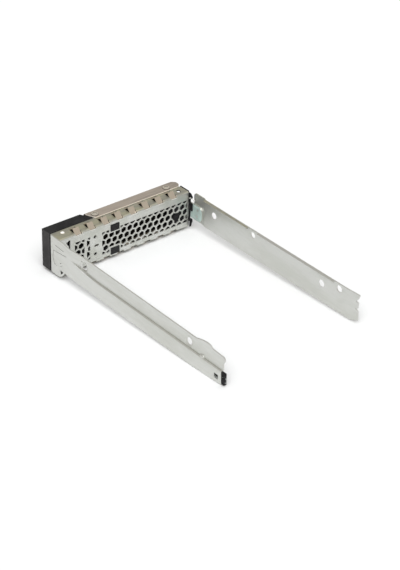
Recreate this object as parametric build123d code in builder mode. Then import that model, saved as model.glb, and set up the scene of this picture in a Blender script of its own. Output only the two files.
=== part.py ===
"""A hot swap caddy for a 3.5 inch drive, lying with the drive's underside up.

+X runs across the drive bay, +Y from the front latch to the connector end, +Z up.
The origin is under the middle of the whole caddy, at the level it stands on.
Lengths are in millimetres. Sketches measure depth from the rear face of the
perforated plate and height from the housing's lowest face.
"""

from build123d import *
from math import atan, degrees, sqrt
import os

# The drive that the caddy carries, from its published outline
drive_width = 101.6
drive_screw_height = 6.35
drive_screw_rear = 28.5
drive_screw_spacing = 101.6
drive_clearance = 0.2

# Folded steel of the tray
sheet = 0.8
bend = 0.3
housing_height = 26.2
housing_depth = 9.8
plate_inset = 1.0
lip_round = 2.5

# Latch handle, a thinner channel that laps over the housing
handle_sheet = 0.7
handle_gap = 0.15
handle_depth = 8.2
handle_lap = 1.2
handle_inset = 0.6
tail_round = 3.4
tail_corner = 3.0
tail_reach = 5.2
slant_run = 0.427
pivot_inset = 10.4
pivot_forward = 3.1
catch_forward = 3.5
pin_radius = 1.5
head_radius = 2.5
head_rise = 0.3
head_dish = 0.2
running = 0.05
snug = 0.02

# Moulded bezel
bezel_depth = 9.2
bezel_rise = 0.25
bezel_wall = 1.5
bezel_side_wall = 2.0
bezel_round = 0.8
bezel_slant_run = 0.546
slant_gap = 0.37
tongue_gap = 0.4
tongue_wall = 1.2

# Rails
rail_start = 3.4
rail_end = 157.6
rail_drop = 1.2
right_rail_low = 4.7
left_rail_low = 6.6
flange_width = 2.4
screw_hole_radius = 2.3
screw_sink_radius = 3.6
screw_land = 0.3

# Light pipes beside the drive, under the jog of the right rail
pipe_jog = 1.1
pipe_thick = 0.7
pipe_tall = 1.4
pipe_levels = (8.3, 11.0)
pipe_overhang = 1.6
jog_height = 15.3

# Perforated field of the plate
hex_pitch = 4.75
hex_across = 3.95
field_low = 3.9
field_top_margin = 6.0

# Spring fingers
finger_pitch = 10.75
finger_width = 4.5
finger_leaf = 0.3
crest_rise = 2.1
window_width = 5.1
window_margin = 1.6
window_notch = 1.6

# Release button and its latch
button_inset = 13.8
button_margin = 5.1
button_travel = 1.8
button_clearance = 0.2
latch_offset = 13.0
latch_setback = 2.4
latch_tall = 8.4
latch_pin_radius = 0.8
spring_coil_radius = 2.3
spring_wire_radius = 0.3
spring_turns = 4
barrel_radius = 4.0

# Frame worked out from the sizes above
half = drive_width / 2
bay_half = half + drive_clearance
rail_outer = bay_half + sheet
caddy_half = rail_outer + pipe_jog
panel_inner = caddy_half - sheet
plate_left = -half + plate_inset
handle_low = -handle_gap - handle_sheet
handle_high = housing_height + handle_gap + handle_sheet
handle_rear = housing_depth - handle_lap
handle_front = handle_rear + handle_depth
pivot_depth = handle_rear + pivot_forward
catch_depth = handle_rear + catch_forward
latch_depth = housing_depth - latch_setback
window_front = housing_depth - window_margin
caddy_low = -crest_rise
caddy_high = housing_height + crest_rise
base = crest_rise
middle = housing_height / 2
front = housing_depth + bezel_depth
plate_y = front - (front + rail_end + pipe_overhang) / 2
button_size = housing_height - 2 * button_margin
button_x = half - button_inset
latch_x = button_x - latch_offset
catch_x = latch_x - 7.5
pivot_x = -half + pivot_inset
handle_left = -half + handle_inset
web_left = pivot_x - tail_reach
handle_right_rear = latch_x - 5.6
right_rail_top = housing_height - rail_drop
screw_level = housing_height - sheet - drive_screw_height
screw_rear = rail_end - 2.9 - drive_screw_rear
screw_front = screw_rear - drive_screw_spacing
inner_low = sheet + tongue_gap
inner_high = housing_height - sheet - tongue_gap
pipe_right = panel_inner - running
pipe_left = pipe_right - pipe_thick
far = 400.0


def top_view(z):
    """Plane seen from above, at height z: local x across, local y towards the rear."""
    return Plane(origin=(0, plate_y, base + z), x_dir=(1, 0, 0), z_dir=(0, 0, 1))


def front_view(y):
    """Plane seen from the front, at depth y: local x across, local y up."""
    return Plane(origin=(0, plate_y + y, base), x_dir=(1, 0, 0), z_dir=(0, -1, 0))


def side_view(x):
    """Plane seen from the right, at x: local x towards the rear, local y up."""
    return Plane(origin=(x, plate_y, base), x_dir=(0, 1, 0), z_dir=(1, 0, 0))


def span(low, high, bottom, top, mode=Mode.ADD):
    """A rectangle between two corners."""
    with Locations(((low + high) / 2, (bottom + top) / 2)):
        Rectangle(high - low, top - bottom, mode=mode)


def block(x_low, x_high, y_low, y_high, z_low, z_high, mode=Mode.ADD):
    """A box between two corners."""
    with BuildSketch(top_view(z_low)) as foot:
        span(x_low, x_high, y_low, y_high)
    extrude(foot.sketch, amount=z_high - z_low, mode=mode)


def outline(points):
    """A face inside a closed run of straight lines."""
    with BuildLine() as run:
        Polyline(*points, close=True)
    make_face(run.edges())


def upright_round(x, y, radius, z_low, z_high, mode=Mode.ADD):
    """An upright cylinder."""
    with BuildSketch(top_view(z_low)) as foot:
        with Locations((x, y)):
            Circle(radius)
    extrude(foot.sketch, amount=z_high - z_low, mode=mode)


def channel_section(web, lips, low, high, thick):
    """Section of a folded channel: its web at one depth, its lips reaching to another."""
    into = 1 if lips > web else -1
    wall = web + into * thick
    outline(
        [
            (lips, low),
            (web, low),
            (web, high),
            (lips, high),
            (lips, high - thick),
            (wall, high - thick),
            (wall, low + thick),
            (lips, low + thick),
        ]
    )
    fillet([v for v in vertices() if abs(v.X - web) < 0.01], bend + thick)
    fillet([v for v in vertices() if abs(v.X - wall) < 0.01 and low < v.Y < high], bend)


# Housing: a perforated plate with a flange folded forward above and below it
finger_first = half - 13.35
finger_count = int((drive_width - 26) / finger_pitch) + 1
finger_xs = [finger_first - finger_pitch * i for i in range(finger_count)]
field_left = plate_left + 0.5
field_right = latch_x - 4.2
field_high = housing_height - field_top_margin
hex_middle = (field_low + field_high) / 2 + 0.05
hex_column_x = latch_x - 21.3
vent_left = button_x - 8.0
vent_right = button_x + 3.9
vent_bar_left = button_x - 5.3
vent_bar_right = button_x - 3.7
snap_x = latch_x - 14.3
snap_width = 6.9
snap_height = 4.9
snap_levels = (4.0, housing_height - 5.3)
snap_frame = 0.9
hub_x = pivot_x + 1.0
hub_level = 11.1
hub_radius = 2.4
hub_clearance = 0.3
tab_low = middle - 5.5
tab_high = middle + 5.3
tab_reach = 12.4
tab_round = min(4.0, 0.4 * (tab_high - tab_low))
tie_holes = ((half - 5.5, 3.0 - housing_depth), (-half + 5.8, 5.3 - housing_depth))
tie_hole_radius = 1.5
pipe_cut_left = bay_half + 0.2
side_flange_low = jog_height + 0.25
right_rivets = (
    (3.1 - housing_depth, housing_height - 4.9),
    (6.4 - housing_depth, housing_height - 8.4),
)
left_rivets = ((8.0, tab_high - 3.0), (7.4, tab_low + 3.0))
rivet_radius = 0.9


def hex_grid(left, right):
    """Hexagons between two sides: five rows, every other one shifted by half a pitch."""
    columns = range(int(left / hex_pitch) - 3, int(right / hex_pitch) + 3)
    for row in range(-2, 3):
        shift = -hex_pitch / 2 if row % 2 == 0 else 0
        level = hex_middle + row * hex_pitch * sqrt(3) / 2
        with Locations(*[(hex_column_x + shift + column * hex_pitch, level) for column in columns]):
            RegularPolygon(hex_across / 2, 6, major_radius=False, rotation=30)
    span(left, right, field_low, field_high, Mode.INTERSECT)


with BuildPart() as housing:
    with BuildSketch(side_view(plate_left)):
        channel_section(0, -housing_depth, 0, housing_height, sheet)
    extrude(amount=panel_inner - plate_left)
    with BuildSketch(side_view(panel_inner)):
        span(-housing_depth, -sheet, side_flange_low, housing_height - sheet)
    extrude(amount=-sheet)
    # room for the light pipes beside the plate
    block(pipe_cut_left, far, -far, far, caddy_low, side_flange_low, Mode.SUBTRACT)
    # wide field of hexagons, with plain frames round the two snap windows
    with BuildSketch(front_view(0)):
        hex_grid(field_left, field_right)
        with Locations(*[(snap_x, level) for level in snap_levels]):
            Rectangle(
                snap_width + 2 * snap_frame, snap_height + 2 * snap_frame, mode=Mode.SUBTRACT
            )
    extrude(amount=sheet, mode=Mode.SUBTRACT)
    # small field with an upright bar, and the plain openings beside it
    with BuildSketch(front_view(0)):
        hex_grid(vent_left, vent_right)
        span(vent_bar_left, vent_bar_right, 0, housing_height, Mode.SUBTRACT)
        with Locations(*[(snap_x, level) for level in snap_levels]):
            Rectangle(snap_width, snap_height)
        with Locations((hub_x, hub_level)):
            Circle(hub_radius + hub_clearance)
        with Locations((latch_x + 1.3, housing_height - 7.1), (latch_x + 1.1, 6.6)):
            Circle(1.15)
        with Locations((latch_x + 0.1, 12.5)):
            SlotOverall(3.6, 1.6)
        outline(
            [
                (vent_right + 3.3, housing_height - 12.4),
                (vent_right + 4.5, housing_height - 12.4),
                (vent_right + 4.6, housing_height - 6.9),
                (vent_right + 6.4, housing_height - 3.9),
                (vent_right + 4.4, housing_height - 2.7),
                (vent_right + 3.3, housing_height - 2.7),
            ]
        )
    extrude(amount=sheet, mode=Mode.SUBTRACT)
    # windows for the spring fingers, cut through the bend at the plate
    for level, notch in ((housing_height, -window_notch), (0, window_notch)):
        with BuildSketch(top_view(level)):
            with Locations(*[(x, -window_front / 2) for x in finger_xs]):
                Rectangle(window_width, window_front + 0.1)
        extrude(amount=notch, mode=Mode.SUBTRACT)
    # tie holes through both flanges
    with BuildSketch(top_view(caddy_low)):
        with Locations(*tie_holes):
            Circle(tie_hole_radius)
    extrude(amount=far, mode=Mode.SUBTRACT)
    # the flanges' free corners
    lip_corners = [
        e
        for e in edges().filter_by(Axis.Z)
        if abs(e.center().X - plate_left) < 0.01
        and abs(e.center().Y - (plate_y - housing_depth)) < 0.01
    ]
    fillet(lip_corners, lip_round)
    # tab that laps inside the left rail
    block(-rail_outer, plate_left + sheet, -sheet, 0, tab_low, tab_high)
    with BuildSketch(side_view(-rail_outer)):
        span(-sheet, tab_reach, tab_low, tab_high)
        fillet(vertices().group_by(Axis.X)[-1], tab_round)
    extrude(amount=sheet)
    # rivet holes
    with BuildSketch(side_view(panel_inner)):
        with Locations(*right_rivets):
            Circle(rivet_radius + snug)
    extrude(amount=-sheet, mode=Mode.SUBTRACT)
    with BuildSketch(side_view(-rail_outer)):
        with Locations(*left_rivets):
            Circle(rivet_radius + snug)
    extrude(amount=sheet, mode=Mode.SUBTRACT)

# Right rail: front panel, jogged lower band for the light pipes, upper band beside the drive
ramp_start = 12.0
ramp_end = 20.0
jog_front = (8.0, jog_height + 3.1)
jog_slope = (20.0, jog_height + 1.3)
jog_level = (32.0, jog_height)
lap_depth = 0.15
panel_roll = 0.6
right_profile = [
    (-housing_depth + 0.1, 0),
    (-0.4, 0),
    (2.4, 1.4),
    (5.6, right_rail_low + 0.5),
    (20.0, right_rail_low),
    (134.5, right_rail_low + 0.1),
    (137.3, right_rail_low + 1.1),
    (140.3, right_rail_low + 0.4),
    (156.6, right_rail_low + 1.5),
    (156.3, right_rail_top - 10.2),
    (156.7, right_rail_top - 9.4),
    (156.7, right_rail_top - 5.4),
    (158.0, right_rail_top - 3.2),
    (158.0, right_rail_top - 1.7),
    (157.0, right_rail_top - 0.6),
    (146.9, right_rail_top),
    (145.2, right_rail_top + 1.4),
    (142.4, right_rail_top + 1.7),
    (138.2, right_rail_top + 1.2),
    (132.4, right_rail_top - 0.4),
    (10.8, right_rail_top + 0.1),
    (2.0, housing_height),
    (-housing_depth + 0.1, housing_height),
]
with BuildPart() as right_rail:
    # upper band, seen from above
    with BuildSketch(top_view(jog_height - sheet)):
        outline(
            [
                (panel_inner, -housing_depth),
                (caddy_half, -housing_depth),
                (caddy_half, ramp_start),
                (rail_outer, ramp_end),
                (rail_outer, far),
                (bay_half, far),
                (bay_half, ramp_end),
                (panel_inner, ramp_start),
            ]
        )
    extrude(amount=housing_height)
    # lower band, whose jog slopes down behind the front panel
    with BuildSketch(side_view(panel_inner)):
        outline(
            [
                (-housing_depth, 0),
                (far, 0),
                (far, jog_height),
                jog_level,
                jog_slope,
                jog_front,
                (-housing_depth, jog_front[1]),
            ]
        )
    extrude(amount=sheet)
    # ledge between the two
    with BuildSketch(side_view(bay_half)):
        outline(
            [
                jog_front,
                jog_slope,
                jog_level,
                (far, jog_height),
                (far, jog_height - sheet),
                (jog_level[0], jog_height - sheet),
                (jog_front[0], jog_front[1] - sheet),
            ]
        )
    extrude(amount=caddy_half - bay_half)
    # nothing reaches into the bay beside the ramp
    with BuildSketch(top_view(0)):
        outline(
            [
                (bay_half - 1, -housing_depth - 1),
                (panel_inner, -housing_depth - 1),
                (panel_inner, ramp_start),
                (bay_half, ramp_end),
                (bay_half - 1, ramp_end),
            ]
        )
    extrude(amount=housing_height, mode=Mode.SUBTRACT)
    ledge = [
        e
        for e in edges().filter_by(Axis.Y)
        if abs(e.center().X - caddy_half) < 0.01
        and abs(e.center().Z - base - jog_height) < 0.01
        and e.length > 100
    ]
    chamfer(ledge, 0.6)
    # rolled front edge of the panel
    with BuildSketch(top_view(-1)):
        outline(
            [
                (caddy_half - panel_roll, -housing_depth - 1),
                (caddy_half + 1, -housing_depth - 1),
                (caddy_half + 1, -housing_depth + panel_roll * 2),
                (caddy_half, -housing_depth + panel_roll * 2),
                (caddy_half - panel_roll, -housing_depth),
            ]
        )
    extrude(amount=far, mode=Mode.SUBTRACT)
    # outline of the rail seen from the side
    with BuildSketch(side_view(0)):
        outline(right_profile)
    extrude(amount=far, mode=Mode.INTERSECT)
    # holes for the drive's screws, sunk on the outside, with the light guide's window and notch
    with BuildSketch(side_view(0)):
        with Locations((screw_front, screw_level), (screw_rear, screw_level)):
            Circle(screw_hole_radius)
        with Locations((152.0, 9.7)):
            Rectangle(3.4, 3.0)
        outline([(0.9, 5.4), (4.4, 5.2), (1.6, 2.4)])
        with Locations(
            (1.6, 10.7), (1.8, 8.5), (22.4, right_rail_top - 3.1), (24.9, right_rail_top - 5.8)
        ):
            Circle(0.45)
    extrude(amount=far, mode=Mode.SUBTRACT)
    with BuildSketch(side_view(rail_outer)):
        with Locations((screw_front, screw_level), (screw_rear, screw_level)):
            Circle(screw_sink_radius)
    sink_depth = sheet - screw_land
    sink_taper = degrees(atan((screw_sink_radius - screw_hole_radius) / sink_depth))
    extrude(amount=-sink_depth, taper=sink_taper, mode=Mode.SUBTRACT)
    # creases of the pressed panel: round the lower bulge, and a short one above it
    with BuildSketch(side_view(caddy_half)):
        with BuildLine() as crease:
            Polyline(
                (7.6, jog_height + 2.8),
                (3.7 - housing_depth, jog_height + 1.4),
                (3.1 - housing_depth, jog_height - 3.5),
                (4.4 - housing_depth, jog_height - 7.7),
                (7.2 - housing_depth, jog_height - 8.6),
            )
        trace(line_width=0.3)
        with Locations((0.3, housing_height - 5.3)):
            SlotOverall(9.0, 0.35, rotation=-4)
    extrude(amount=-lap_depth, mode=Mode.SUBTRACT)
    with BuildSketch(side_view(0)):
        with Locations(*right_rivets):
            Circle(rivet_radius + snug)
    extrude(amount=far, mode=Mode.SUBTRACT)

# Left rail: plain band, joggled outward where the housing's tab laps inside it
joggle_start = tab_reach + 0.8
joggle_end = joggle_start + 1.6
flare_start = 149.0
flare = 0.7
left_profile = [
    (rail_start, left_rail_low),
    (152.0, left_rail_low),
    (157.9, left_rail_low + 1.9),
    (157.6, housing_height - 11.4),
    (155.4, housing_height - 10.3),
    (157.4, housing_height - 9.4),
    (157.6, housing_height - 5.7),
    (155.6, housing_height - 5.1),
    (157.2, housing_height - 3.3),
    (158.3, housing_height - 0.4),
    (157.6, housing_height),
    (rail_start + 1.2, housing_height),
    (rail_start, housing_height - 1.2),
]
left_path = [
    (-rail_outer - sheet / 2, rail_start - 1),
    (-rail_outer - sheet / 2, joggle_start),
    (-bay_half - sheet / 2, joggle_end),
    (-bay_half - sheet / 2, flare_start),
    (-bay_half - sheet / 2 - flare, rail_end + 2),
]
flange_tabs = ((joggle_end + 0.2, 58.0), (67.0, 137.0))
with BuildPart() as left_rail:
    with BuildSketch(top_view(0)):
        with BuildLine():
            Polyline(*left_path)
        trace(line_width=sheet)
    extrude(amount=housing_height)
    with BuildSketch(side_view(0)):
        outline(left_profile)
    extrude(amount=-far, mode=Mode.INTERSECT)
    # flange tabs that carry the drive
    for tab_front, tab_rear in flange_tabs:
        with BuildSketch(front_view(tab_rear)):
            span(-rail_outer, -rail_outer + flange_width, housing_height - sheet, housing_height)
        extrude(amount=tab_rear - tab_front)
    # screw holes, plain tooling holes and rivet holes
    with BuildSketch(side_view(0)):
        with Locations((screw_front, screw_level), (screw_rear, screw_level)):
            Circle(screw_hole_radius)
        with Locations((62.4, housing_height - 3.7)):
            Circle(2.05)
        with Locations((141.4, housing_height - 3.5)):
            Circle(2.3)
        with Locations(*left_rivets):
            Circle(rivet_radius + snug)
    extrude(amount=-far, mode=Mode.SUBTRACT)
    with BuildSketch(side_view(-rail_outer)):
        with Locations((screw_front, screw_level), (screw_rear, screw_level)):
            Circle(screw_sink_radius)
    extrude(amount=sink_depth, taper=sink_taper, mode=Mode.SUBTRACT)


# Spring contact strips: fingers that bow out through the flange windows and dive behind the plate
foot_front = -housing_depth + 0.5
foot_rest = housing_height - sheet - finger_leaf / 2
finger_path = [
    (foot_front, foot_rest),
    (-window_front + 0.1, foot_rest),
    (-window_front / 2, caddy_high - finger_leaf * 0.651),
    (-sheet - 0.2, housing_height - 1.6),
]
strip_left = finger_xs[-1] - 3.2
strip_right = finger_xs[0] + 3.2


def contact_strip(mirrored):
    """A strip of spring fingers on one base."""
    path = [(y, housing_height - z) if mirrored else (y, z) for y, z in finger_path]
    with BuildPart() as finger:
        with BuildSketch(side_view(-finger_width / 2)):
            with BuildLine():
                Polyline(*path)
            trace(line_width=finger_leaf)
        extrude(amount=finger_width)
    z_low = sheet if mirrored else housing_height - sheet - finger_leaf
    with BuildPart() as strip:
        block(strip_left, strip_right, foot_front, -window_front - 0.1, z_low, z_low + finger_leaf)
        with Locations(*[(x, 0, 0) for x in finger_xs]):
            add(finger.part)
    return strip.part


def finger_rooms():
    """Clears the fingers' tips above and below."""
    for x in finger_xs:
        for low in (-1, housing_height - 2.1):
            block(x - 2.5, x + 2.5, -2.5, -sheet + 0.05, low, low + 3.1, Mode.SUBTRACT)


# Handle: a channel that opens to the rear and laps over the housing's flanges
def slant_x(y):
    """Where the handle's slanted end lies at a depth."""
    return handle_right_rear + slant_run * (-handle_rear - y)


grip_pitch = 5.2
grip_across = 4.2
grip_columns = 9
with BuildPart() as handle_channel:
    with BuildSketch(side_view(handle_left)):
        channel_section(-handle_front, -handle_rear, handle_low, handle_high, handle_sheet)
    extrude(amount=slant_x(-handle_front) + 3 - handle_left)
    with BuildSketch(top_view(caddy_low)):
        outline(
            [
                (slant_x(-handle_front - 2), -handle_front - 2),
                (far, -handle_front - 2),
                (far, -handle_rear + 2),
                (slant_x(-handle_rear + 2), -handle_rear + 2),
            ]
        )
    extrude(amount=far, mode=Mode.SUBTRACT)
    # the web ends short of the hinge, so that the tail can swing in
    block(
        handle_left - 1, web_left, -handle_front - 2, -handle_front + handle_sheet + bend,
        handle_low + handle_sheet, handle_high - handle_sheet, Mode.SUBTRACT,
    )
    tail_edges = [
        e
        for e in edges().filter_by(Axis.Z)
        if abs(e.center().X - handle_left) < 0.01
        and abs(e.center().Y - (plate_y - handle_rear)) < 0.01
    ]
    fillet(tail_edges, tail_round)
    with BuildSketch(top_view(caddy_low)):
        outline(
            [
                (handle_left - 1, -handle_front - 1),
                (handle_left + tail_corner + 1, -handle_front - 1),
                (handle_left - 1, -handle_front + tail_corner + 1),
            ]
        )
    extrude(amount=far, mode=Mode.SUBTRACT)
    # air holes in the web
    with BuildSketch(front_view(-handle_front + handle_sheet)):
        with Locations(((catch_x + pivot_x) / 2, middle - 0.6)):
            with HexLocations(grip_pitch / 2, grip_columns, 2, major_radius=False):
                RegularPolygon(grip_across / 2, 6, major_radius=False, rotation=30)
    extrude(amount=handle_sheet, mode=Mode.SUBTRACT)
    with BuildSketch(top_view(caddy_low)):
        with Locations((pivot_x, -pivot_depth), (catch_x, -catch_depth)):
            Circle(pin_radius + snug)
    extrude(amount=far, mode=Mode.SUBTRACT)


def headed_pin(x, y):
    """A pin riveted over at both ends."""
    with BuildPart() as pin:
        upright_round(x, y, pin_radius, handle_low, handle_high)
        upright_round(x, y, head_radius, handle_low - head_rise, handle_low)
        upright_round(x, y, head_radius, handle_high, handle_high + head_rise)
        rims = edges().filter_by(GeomType.CIRCLE).group_by(Axis.Z)
        chamfer(rims[0] + rims[-1], head_rise * 0.6)
        # shallow dish left by the riveting tool
        for outer in (handle_low - head_rise, handle_high + head_rise - head_dish):
            upright_round(x, y, pin_radius, outer, outer + head_dish, Mode.SUBTRACT)
    return pin.part


# Bezel: a hollow block with a tongue in the housing and two snaps in the plate's windows
bezel_low = -bezel_rise
bezel_high = housing_height + bezel_rise
bezel_rear = -housing_depth - running
slant_rear = slant_x(bezel_rear) + slant_gap
slant_front = slant_rear + bezel_slant_run * (front + bezel_rear)
tongue_left = latch_x - 5.5
tongue_right = bay_half
arm_left = snap_x - snap_width / 2 + 0.1
snap_right = snap_x + snap_width / 2 - 0.1
bridge_depth = housing_depth - 4.8
spring_x = button_x + button_size / 2 - 4.5
with BuildPart() as bezel:
    with BuildSketch(top_view(bezel_low)):
        outline(
            [
                (slant_front, -front),
                (caddy_half, -front),
                (caddy_half, bezel_rear),
                (slant_rear, bezel_rear),
            ]
        )
    extrude(amount=bezel_high - bezel_low)
    front_edges = edges().group_by(Axis.Y)[0]
    chamfer(front_edges, bezel_round)
    with BuildSketch(top_view(inner_low + tongue_wall)):
        outline(
            [
                (slant_front + 1.6, -front + bezel_wall),
                (caddy_half - bezel_side_wall, -front + bezel_wall),
                (caddy_half - bezel_side_wall, bezel_rear),
                (slant_rear + 1.9, bezel_rear),
            ]
        )
    extrude(amount=inner_high - inner_low - 2 * tongue_wall, mode=Mode.SUBTRACT)
    hole_half = button_size / 2 + button_clearance
    with BuildSketch(front_view(-front + bezel_wall)):
        with Locations((button_x, middle)):
            RectangleRounded(2 * hole_half, 2 * hole_half, 1.2)
    extrude(amount=2 * bezel_wall, mode=Mode.SUBTRACT)
    # opening for the latch in the slanted wall
    slot = latch_tall / 2 + 0.4
    block(
        latch_x - 14, latch_x + 0.6, -handle_front - 0.1, bezel_rear,
        middle - slot, middle + slot, Mode.SUBTRACT,
    )
    # tongue
    block(tongue_left, tongue_right, bezel_rear, -sheet - 0.15, inner_low, inner_high)
    block(
        tongue_left - 1, tongue_right - tongue_wall, bezel_rear, 0,
        inner_low + tongue_wall, inner_high - tongue_wall, Mode.SUBTRACT,
    )
    # arms with the snaps that fill the plate's windows
    block(arm_left, tongue_left, -2.6, -sheet - 0.15, snap_levels[1] - 2.35, inner_high)
    block(arm_left, tongue_left, -2.6, -sheet - 0.15, inner_low, snap_levels[0] + 2.35)
    for level in snap_levels:
        block(arm_left, snap_right, -sheet - 0.15, 0.35, level - 2.35, level + 2.35)
    # spring seat
    block(
        spring_x - 2.0, spring_x + 2.0, -bridge_depth, -bridge_depth + 1.2,
        inner_low + tongue_wall, inner_high - tongue_wall,
    )
    with BuildSketch(front_view(-bridge_depth)):
        with Locations((spring_x, middle)):
            Circle(1.5)
    extrude(amount=3.0)
    # leg behind the right rail's foot
    with BuildSketch(side_view(pipe_cut_left + 0.1)):
        outline(
            [
                (bezel_rear, 1.0),
                (1.3, 1.0),
                (2.5, 2.0),
                (4.9, 4.9),
                (4.9, 6.4),
                (bezel_rear, 6.4),
            ]
        )
    extrude(amount=panel_inner - running - pipe_cut_left - 0.1)
    finger_rooms()
    # bores for the latch's pin, the light pipes and the tie hole
    upright_round(latch_x, -latch_depth, latch_pin_radius + snug, inner_low, inner_high, Mode.SUBTRACT)
    upright_round(*tie_holes[0], tie_hole_radius + 0.3, inner_low, inner_high, Mode.SUBTRACT)
    for level in pipe_levels:
        block(
            pipe_left - running, pipe_right + running, -front - 1, bezel_rear,
            level - pipe_tall / 2 - running, level + pipe_tall / 2 + running, Mode.SUBTRACT,
        )

# Hinge block: carries the handle's pivot, clips into the left end of the housing
cheek_left = -bay_half + 0.1
arm_half = 3.1
clip_thick = 0.75
clip_right = cheek_left + clip_thick
gap_left = cheek_left
clip_outline = [
    (0.05, housing_height - 1.0),
    (1.1, housing_height - 1.0),
    (3.1, housing_height - 2.8),
    (3.1, housing_height - 4.3),
    (1.2, housing_height - 3.9),
    (1.2, tab_high + 0.2),
    (3.1, tab_high - 0.4),
    (3.1, tab_low + 5.3),
    (0.9, tab_low + 5.3),
    (0.9, tab_low - 0.7),
    (3.1, tab_low - 0.7),
    (3.3, tab_low - 2.4),
    (1.8, 0.8),
    (0.9, 0.6),
    (0.9, 4.4),
    (0.05, 4.4),
]
ring_posts = ((pivot_x + 4.8, 6.8), (pivot_x + 0.2, 16.2))
with BuildPart() as hinge_block:
    upright_round(pivot_x, -pivot_depth, barrel_radius, inner_low, inner_high)
    block(pivot_x - arm_half, pivot_x + arm_half, -pivot_depth, -sheet, inner_low, inner_high)
    block(cheek_left, pivot_x + 6.0, -2.6, -sheet - 0.6, inner_low, inner_high)
    block(cheek_left, plate_left - 0.1, -housing_depth + 0.5, -sheet, 0.2, housing_height)
    # through the open corner beside the plate to the clip behind it
    block(gap_left, plate_left - 0.1, -sheet, 0.1, tab_high + 0.2, housing_height - 1.0)
    block(gap_left, plate_left - 0.1, -sheet, 0.1, 4.4, tab_low - 0.2)
    with BuildSketch(side_view(clip_right)):
        outline(clip_outline)
    extrude(amount=-clip_thick)
    # boss through the round opening of the plate
    with BuildSketch(front_view(0.9)):
        with Locations((hub_x, hub_level)):
            Circle(hub_radius)
    extrude(amount=0.9 + sheet + 0.2)
    with BuildSketch(front_view(-sheet)):
        with Locations(*ring_posts):
            Circle(1.5)
            Circle(0.8, mode=Mode.SUBTRACT)
    extrude(amount=1.0)
    upright_round(pivot_x, -pivot_depth, pin_radius + running, inner_low, inner_high, Mode.SUBTRACT)
    finger_rooms()

# Release button, its spring and the latch that it turns
button_low = middle - button_size / 2
button_high = middle + button_size / 2
button_left = button_x - button_size / 2
button_right = button_x + button_size / 2
button_face = 1.5
button_reach = housing_depth + 1.7
lug = 0.7
pusher_x = latch_x + 9.0
with BuildPart() as release_button:
    with BuildSketch(front_view(-button_reach)):
        with Locations((button_x, middle)):
            RectangleRounded(button_size, button_size, 1.0)
    extrude(amount=front - button_reach)
    chamfer(faces().sort_by(Axis.Y)[0].edges(), 0.5)
    block(
        button_left - lug, button_right + lug,
        -front + bezel_wall + running, -front + bezel_wall + 1.1,
        button_low - lug, button_high + lug,
    )
    block(
        button_left + 1.2, button_right - 1.2, -front + button_face, 0,
        button_low + 1.2, button_high - 1.2, Mode.SUBTRACT,
    )
    block(pusher_x - 0.6, pusher_x + 0.6, -front + button_face, -latch_depth - 1.6, middle - 2, middle + 2)

latch_arm_front = -latch_depth - 1.3
nose_x = catch_x + pin_radius + 0.2
with BuildPart() as latch_hook:
    with BuildSketch(top_view(middle - latch_tall / 2)):
        with Locations((latch_x, -latch_depth)):
            Circle(2.4)
        span(latch_x, pusher_x + 1.5, latch_arm_front, latch_arm_front + 1.5)
        outline(
            [
                (latch_x - 2.3, -latch_depth - 0.2),
                (latch_x - 3.4, -catch_depth - 0.6),
                (nose_x, -catch_depth - 1.1),
                (nose_x, -catch_depth - 2.3),
                (latch_x - 2.2, -catch_depth - 2.5),
                (latch_x - 0.7, -catch_depth - 0.9),
                (latch_x + 2.0, -latch_depth - 0.8),
            ]
        )
    extrude(amount=latch_tall)
    upright_round(
        latch_x, -latch_depth, latch_pin_radius + running,
        middle - latch_tall, middle + latch_tall, Mode.SUBTRACT,
    )

with BuildPart() as latch_pivot_pin:
    upright_round(latch_x, -latch_depth, latch_pin_radius, inner_low, inner_high)

spring_length = front - button_face - bridge_depth
coil_start = spring_wire_radius
coil_length = spring_length - 2 * spring_wire_radius
coil_seat = (spring_x, plate_y - bridge_depth - coil_start, base + middle)
with BuildPart() as button_spring:
    with BuildLine():
        coil = Helix(coil_length / spring_turns, coil_length, spring_coil_radius, coil_seat, (0, -1, 0))
    with BuildSketch(Plane(origin=coil @ 0, z_dir=coil % 0)):
        RegularPolygon(spring_wire_radius, 4)
    sweep(path=coil)

# Light pipes, and their holder at the rear of the right rail
pipe_rear = rail_end + pipe_overhang


def light_pipe(level):
    """A clear pipe along the right rail."""
    with BuildPart() as pipe:
        block(
            pipe_left, pipe_right, -front, pipe_rear,
            level - pipe_tall / 2, level + pipe_tall / 2,
        )
    return pipe.part


holder_front = 147.0
holder_step = 156.7
holder_top = jog_height - sheet - 0.05
with BuildPart() as light_guide_holder:
    block(bay_half + 0.1, panel_inner, holder_front, holder_step + 0.3, 6.5, holder_top)
    block(bay_half + 0.1, caddy_half, holder_step + 0.3, pipe_rear, 6.9, holder_top)
    # open notch round the upper pipe's end
    block(
        pipe_right - 0.3, far, holder_step + 0.8, pipe_rear - 0.5,
        pipe_levels[1] - 0.2, pipe_levels[1] + 2.1, Mode.SUBTRACT,
    )
    for level in pipe_levels:
        block(
            pipe_left - running, pipe_right + running, holder_front - 1, pipe_rear + 1,
            level - pipe_tall / 2 - running, level + pipe_tall / 2 + running, Mode.SUBTRACT,
        )


def side_rivet(x_low, x_high, y, z):
    """A flush rivet across a lap joint."""
    with BuildPart() as rivet:
        with BuildSketch(side_view(x_low)):
            with Locations((y, z)):
                Circle(rivet_radius)
        extrude(amount=x_high - x_low)
    return rivet.part


left_head = caddy_half - rail_outer - sheet


def left_rivet(y, z):
    """A rivet with a low head on the outside of the left rail."""
    with BuildPart() as rivet:
        with BuildSketch(side_view(-bay_half)):
            with Locations((y, z)):
                Circle(rivet_radius)
        extrude(amount=-(sheet * 2))
        with BuildSketch(side_view(-rail_outer - sheet)):
            with Locations((y, z)):
                Circle(rivet_radius + 0.6)
        extrude(amount=-left_head)
    return rivet.part


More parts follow.
